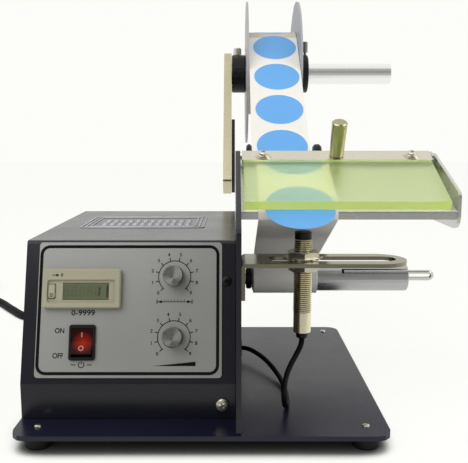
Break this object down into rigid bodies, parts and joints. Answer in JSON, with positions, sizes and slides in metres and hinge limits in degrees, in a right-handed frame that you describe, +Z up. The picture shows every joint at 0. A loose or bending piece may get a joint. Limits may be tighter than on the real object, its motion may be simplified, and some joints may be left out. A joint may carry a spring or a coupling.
{
  "type": "label dispenser",
  "caption": "Motor-driven bench label dispenser: supply reel on an arm, sloping peel table with a hinged clear cover, slotted sensor bracket and take-up roller beside a control housing.",
  "frame": {"origin": "on the table under the middle of the machine's bounding box, the mains cord left out", "axes": "+X to the machine's right, from the control housing to the peel table; +Y to the back, towards the supply reel; +Z up"},
  "size_m": [0.5717, 0.4587, 0.3247],
  "materials": {
    "navy_paint": "semi-gloss powder coat, dark navy grey",
    "satin_aluminium": "turned and anodised, satin",
    "panel_aluminium": "satin anodised sheet",
    "nickel_plate": "nickel plate on mild steel, warm tint",
    "dark_nickel_plate": "nickel plate on mild steel, in shade",
    "stainless_sheet": "stainless steel sheet, mill finish",
    "black_plastic": "moulded, fine texture",
    "rubber": "moulded rubber",
    "beige_plastic": "moulded case, fine texture",
    "display_window": "clear window over a liquid crystal display",
    "red_lens": "translucent red, lit from inside",
    "pale_acrylic": "clear cast acrylic with a fluorescent yellow-green tint",
    "label_paper": "glossy backing paper with blue labels",
    "backing_paper": "bare backing paper, in shade",
    "wound_paper": "bare backing paper wound on the roller",
    "disc_plastic": "sheet plastic, light grey",
    "dark_steel": "machined or laminated steel",
    "circuit_board": "glass fibre board with soldered parts",
    "grey_plastic": "moulded potentiometer case"
  },
  "bodies": {
    "machine": {"base_plate": "navy_paint", "housing_cover": "navy_paint", "rear_panel": "navy_paint", "side_plate": "navy_paint", "foot_front_left": "rubber", "foot_front_right": "rubber", "foot_back_left": "rubber", "foot_back_right": "rubber", "sensor_cable": "rubber", "cable_grommet": "rubber", "cord_strain_relief": "rubber", "power_cord": "rubber", "power_cord_coil": "rubber", "control_plate": "panel_aluminium", "counter_case": "beige_plastic", "counter_window": "display_window", "switch_frame": "black_plastic", "arm_spacer": "black_plastic", "inner_collar": "black_plastic", "cord_tie": "black_plastic", "power_plug": "black_plastic", "spindle_tube": "satin_aluminium", "guide_rod": "satin_aluminium", "length_potentiometer": "grey_plastic", "speed_potentiometer": "grey_plastic", "gear_motor": "dark_steel", "take_up_bearing": "dark_steel", "transformer": "dark_steel", "control_board": "circuit_board", "support_arm": "nickel_plate", "inner_thumb_screw": "nickel_plate", "sensor_bracket": "dark_nickel_plate", "label_web": "label_paper", "backing_web": "backing_paper", "inner_disc": "disc_plastic", "peel_table": "stainless_sheet", "cover_rod": "stainless_sheet", "end_cheek": "stainless_sheet"},
    "power_rocker": {"switch_rocker": "red_lens"},
    "reset_key": {"reset_button": "beige_plastic"},
    "length_dial": {"length_knob": "satin_aluminium"},
    "speed_dial": {"speed_knob": "satin_aluminium"},
    "cover": {"clamp_bar": "nickel_plate", "acrylic_cover": "pale_acrylic", "lift_pin": "nickel_plate"},
    "take_up": {"take_up_roller": "satin_aluminium", "roller_hub": "black_plastic", "take_up_gear": "dark_steel", "wound_backing": "wound_paper"},
    "pinion": {"motor_pinion": "dark_steel"},
    "clip": {"roller_clip": "nickel_plate"},
    "reel": {"label_roll": "label_paper"},
    "outer_flange": {"outer_disc": "disc_plastic", "outer_collar": "black_plastic", "outer_thumb_screw": "nickel_plate"},
    "left_guide": {"guide_collar_left": "black_plastic"},
    "right_guide": {"guide_collar_right": "black_plastic"},
    "sensor_carriage": {"label_sensor": "nickel_plate", "sensor_nut_upper": "nickel_plate", "sensor_nut_lower": "nickel_plate"}
  },
  "joints": [
    {"name": "power_rocker_tip", "type": "hinge", "parent": "machine", "child": "power_rocker", "pos_m": [-0.1123, -0.19325, 0.05794], "axis": [1, 0, 0], "range_deg": [0, 18]},
    {"name": "reset_press", "type": "slide", "parent": "machine", "child": "reset_key", "axis": [0, 0.9532, -0.3024], "range_m": [0, 0.0012], "stiffness_N_per_m": 250, "springref_m": -0.001},
    {"name": "length_dial_turn", "type": "hinge", "parent": "machine", "child": "length_dial", "pos_m": [-0.0565, -0.1811, 0.09626], "axis": [0, -0.9532, 0.3024], "range_deg": [-225, 45]},
    {"name": "speed_dial_turn", "type": "hinge", "parent": "machine", "child": "speed_dial", "pos_m": [-0.0565, -0.19228, 0.06099], "axis": [0, -0.9532, 0.3024], "range_deg": [-195, 75]},
    {"name": "cover_lift", "type": "hinge", "parent": "machine", "child": "cover", "pos_m": [0.0515, -0.12047, 0.16888], "axis": [-1, 0, 0], "range_deg": [0, 70]},
    {"name": "take_up_turn", "type": "hinge", "parent": "machine", "child": "take_up", "pos_m": [0.0515, -0.06845, 0.0718], "axis": [1, 0, 0], "continuous": true},
    {"name": "pinion_turn", "type": "hinge", "parent": "machine", "child": "pinion", "pos_m": [-0.027, -0.10745, 0.0718], "axis": [1, 0, 0], "continuous": true},
    {"name": "clip_pull", "type": "slide", "parent": "take_up", "child": "clip", "axis": [1, 0, 0], "range_m": [0, 0.045]},
    {"name": "reel_turn", "type": "hinge", "parent": "machine", "child": "reel", "pos_m": [0.0205, 0.14995, 0.2502], "axis": [1, 0, 0], "continuous": true},
    {"name": "outer_flange_slide", "type": "slide", "parent": "machine", "child": "outer_flange", "axis": [1, 0, 0], "range_m": [0, 0.085]},
    {"name": "left_guide_slide", "type": "slide", "parent": "machine", "child": "left_guide", "axis": [1, 0, 0], "range_m": [-0.0055, 0]},
    {"name": "right_guide_slide", "type": "slide", "parent": "machine", "child": "right_guide", "axis": [1, 0, 0], "range_m": [0, 0.055]},
    {"name": "sensor_slide", "type": "slide", "parent": "machine", "child": "sensor_carriage", "axis": [1, 0, 0], "range_m": [-0.012, 0.05]}
  ],
  "couplings": [
    {"joint": "pinion_turn", "follows": "take_up_turn", "ratio": -2.3333}
  ]
}
